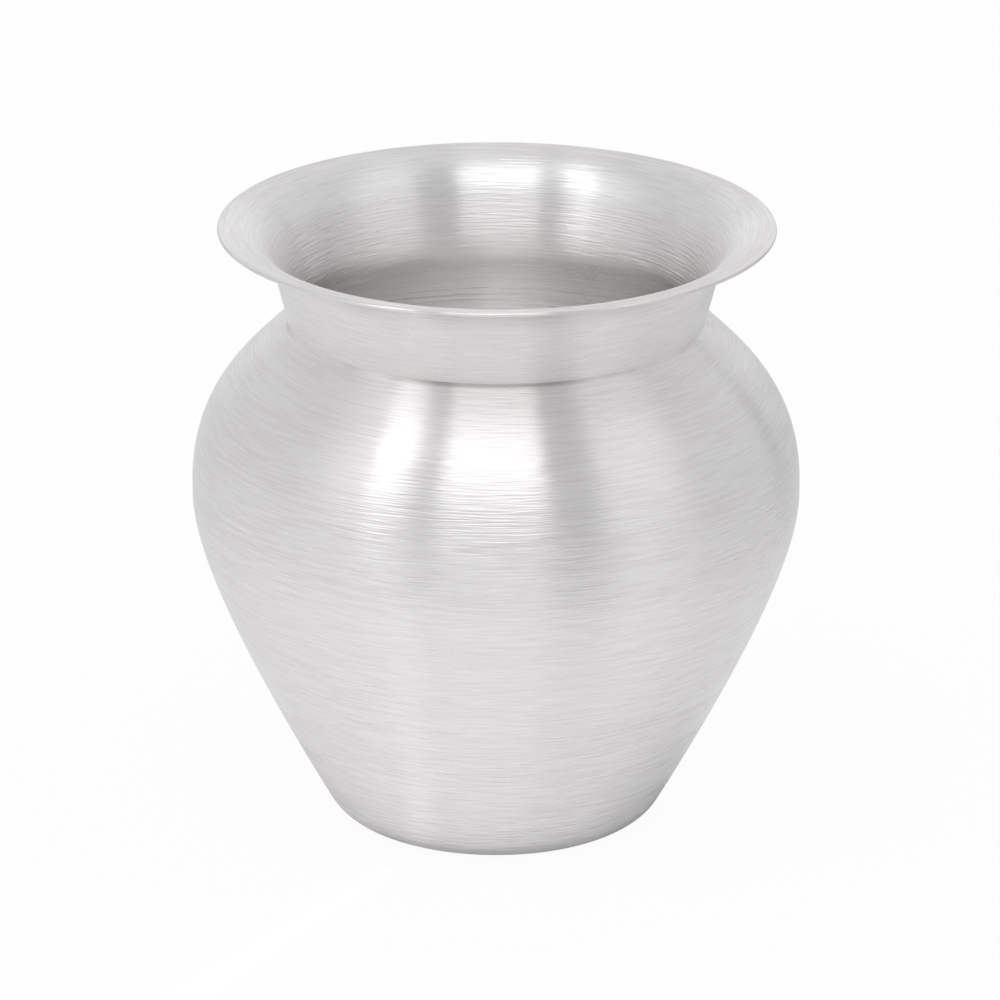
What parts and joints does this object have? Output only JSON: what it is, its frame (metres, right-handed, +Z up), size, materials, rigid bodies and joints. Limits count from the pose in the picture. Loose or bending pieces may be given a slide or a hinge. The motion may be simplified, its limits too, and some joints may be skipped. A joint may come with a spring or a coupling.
{
  "type": "lota",
  "caption": "Round-bellied metal water pot with a short leaning neck, a wide flared rim, a crease at the neck's foot and a flat base, brushed all over.",
  "frame": {"origin": "middle of the base, on the plane that the pot stands on", "axes": "+Z up along the axis that every piece is turned about; the picture looks along +Y"},
  "size_m": [0.0986, 0.0986, 0.1],
  "materials": {
    "lower_bowl": "white metal sheet, brushed round the pot",
    "shoulder_shell": "white metal sheet, brushed round the pot",
    "neck_collar": "white metal sheet, brushed round the pot",
    "belly_seam_solder": "hard solder, dressed flush and brushed",
    "neck_seam_solder": "hard solder, dressed to the crease"
  },
  "bodies": {
    "root": {"lower_bowl": "lower_bowl", "shoulder_shell": "shoulder_shell", "neck_collar": "neck_collar", "belly_seam_solder": "belly_seam_solder", "neck_seam_solder": "neck_seam_solder"}
  },
  "joints": []
}
